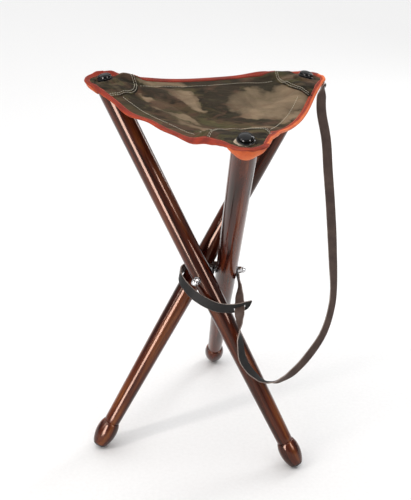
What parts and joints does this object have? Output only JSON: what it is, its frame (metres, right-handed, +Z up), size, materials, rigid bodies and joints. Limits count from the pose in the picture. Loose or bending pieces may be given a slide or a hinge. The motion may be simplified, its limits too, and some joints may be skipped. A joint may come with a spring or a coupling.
{
  "type": "three leg stool",
  "caption": "Folding field stool: crossed turned wooden legs on a central stud, a slung camouflage canvas seat bound in orange leather, and a long leather carrying strap.",
  "frame": {"origin": "on the floor, straight below the hub where the legs cross, at the middle of the stool", "axes": "+Z up; +X to the right and +Y to the back, as seen from the corner that is nearest in the picture"},
  "size_m": [0.3996, 0.3931, 0.5763],
  "materials": {
    "stained_wood": "red-brown stain under a glossy lacquer",
    "foot_rubber": "matt black rubber",
    "plated_steel": "bright zinc plating",
    "chrome": "bright chrome plating",
    "camouflage_canvas": "heavy woven canvas, olive and brown camouflage print",
    "patch_canvas": "second layer of the same canvas, sewn on",
    "orange_leather": "smooth orange leather, folded and stitched",
    "black_plastic": "glossy black moulded plastic",
    "strap_leather": "brown grain outside, dark grey flesh side"
  },
  "bodies": {
    "hub": {"hub_stud": "plated_steel", "inner_washer_front": "plated_steel", "outer_washer_front": "plated_steel", "cap_nut_front": "chrome", "inner_washer_right": "plated_steel", "outer_washer_right": "plated_steel", "cap_nut_right": "chrome", "inner_washer_left": "plated_steel", "outer_washer_left": "plated_steel", "cap_nut_left": "chrome", "seat_panel": "camouflage_canvas", "corner_patch_front": "patch_canvas", "corner_patch_right": "patch_canvas", "corner_patch_left": "patch_canvas", "edge_binding_right": "orange_leather", "edge_binding_rear": "orange_leather", "edge_binding_left": "orange_leather", "carry_strap": "strap_leather", "strap_noose": "strap_leather"},
    "front_leg": {"leg_front": "stained_wood", "foot_pad_front": "foot_rubber", "corner_pocket_front": "orange_leather", "seat_screw_front": "plated_steel", "screw_cup_front": "black_plastic", "screw_cap_front": "black_plastic"},
    "right_leg": {"leg_right": "stained_wood", "foot_pad_right": "foot_rubber", "corner_pocket_right": "orange_leather", "seat_screw_right": "plated_steel", "screw_cup_right": "black_plastic", "screw_cap_right": "black_plastic", "strap_rivet": "plated_steel"},
    "left_leg": {"leg_left": "stained_wood", "foot_pad_left": "foot_rubber", "corner_pocket_left": "orange_leather", "seat_screw_left": "plated_steel", "screw_cup_left": "black_plastic", "screw_cap_left": "black_plastic"}
  },
  "joints": [
    {"name": "front_leg_fold", "type": "hinge", "parent": "hub", "child": "front_leg", "pos_m": [0.0251, 0, 0.29183], "axis": [-1, 0, 0], "range_deg": [0, 32.3], "deforming": ["seat_panel", "corner_patch_front", "corner_patch_right", "corner_patch_left", "edge_binding_right", "edge_binding_rear", "edge_binding_left", "carry_strap", "strap_noose", "corner_pocket_front"]},
    {"name": "right_leg_fold", "type": "hinge", "parent": "hub", "child": "right_leg", "pos_m": [-0.01255, 0.02174, 0.29183], "axis": [0.5, -0.866, 0], "range_deg": [0, 32.3], "deforming": ["corner_pocket_right"]},
    {"name": "left_leg_fold", "type": "hinge", "parent": "hub", "child": "left_leg", "pos_m": [-0.01255, -0.02174, 0.29183], "axis": [0.5, 0.866, 0], "range_deg": [0, 32.3], "deforming": ["corner_pocket_left"]}
  ],
  "couplings": [
    {"joint": "right_leg_fold", "follows": "front_leg_fold", "ratio": 1},
    {"joint": "left_leg_fold", "follows": "front_leg_fold", "ratio": 1}
  ]
}
